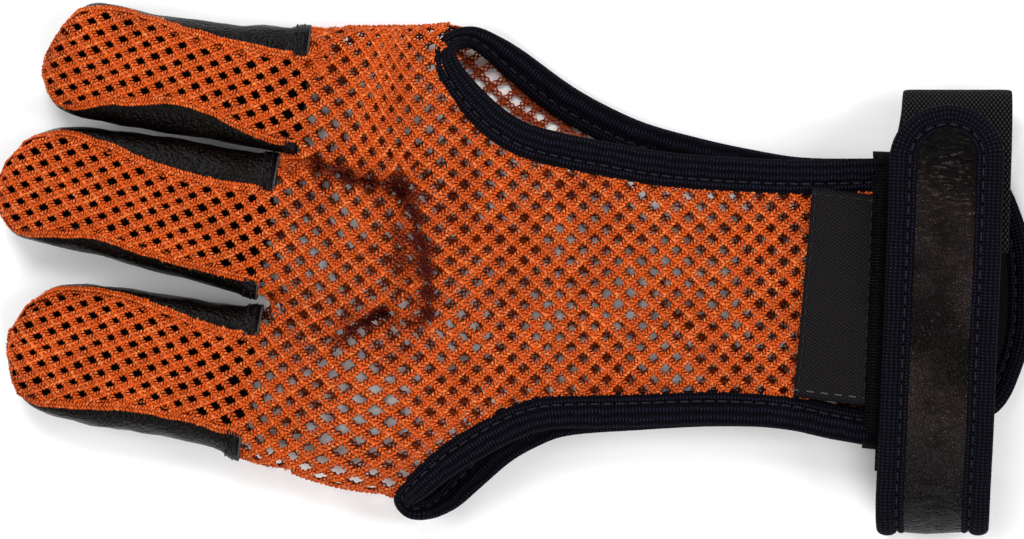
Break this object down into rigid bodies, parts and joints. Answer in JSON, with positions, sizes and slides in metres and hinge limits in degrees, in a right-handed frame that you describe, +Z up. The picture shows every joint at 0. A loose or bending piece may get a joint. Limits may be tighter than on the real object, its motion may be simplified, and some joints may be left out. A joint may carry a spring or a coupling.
{
  "type": "archery glove",
  "caption": "Three-finger archery glove lying palm down: open knitted hand, leather finger stalls, ribbed bindings and a leather wrist strap on a webbing loop.",
  "frame": {"origin": "under the middle of the glove's bounding box, at the level it lies on", "axes": "+X from the fingertips to the wrist, +Y to the index finger's side, +Z up, away from the palm"},
  "size_m": [0.2368, 0.1222, 0.023],
  "materials": {
    "net": "matte knitted net, orange",
    "stall_leather": "fine grain, near black",
    "knit_binding": "ribbed knit, navy black",
    "label_weave": "bare twill, black",
    "webbing": "ribbed webbing, black",
    "strap_leather": "wrinkled, dark brown, light sheen",
    "hook_cloth": "hook and loop, black"
  },
  "bodies": {
    "root": {"back_net": "net", "palm_net": "net", "index_leather": "stall_leather", "middle_leather": "stall_leather", "ring_leather": "stall_leather", "thumb_binding": "knit_binding", "little_side_binding": "knit_binding", "label_patch": "label_weave", "wrist_webbing": "webbing", "palm_pad": "webbing", "pad_binding": "knit_binding", "elastic_band": "webbing", "hook_pad": "hook_cloth", "strap_leather": "strap_leather", "strap_binding": "knit_binding"}
  },
  "joints": []
}
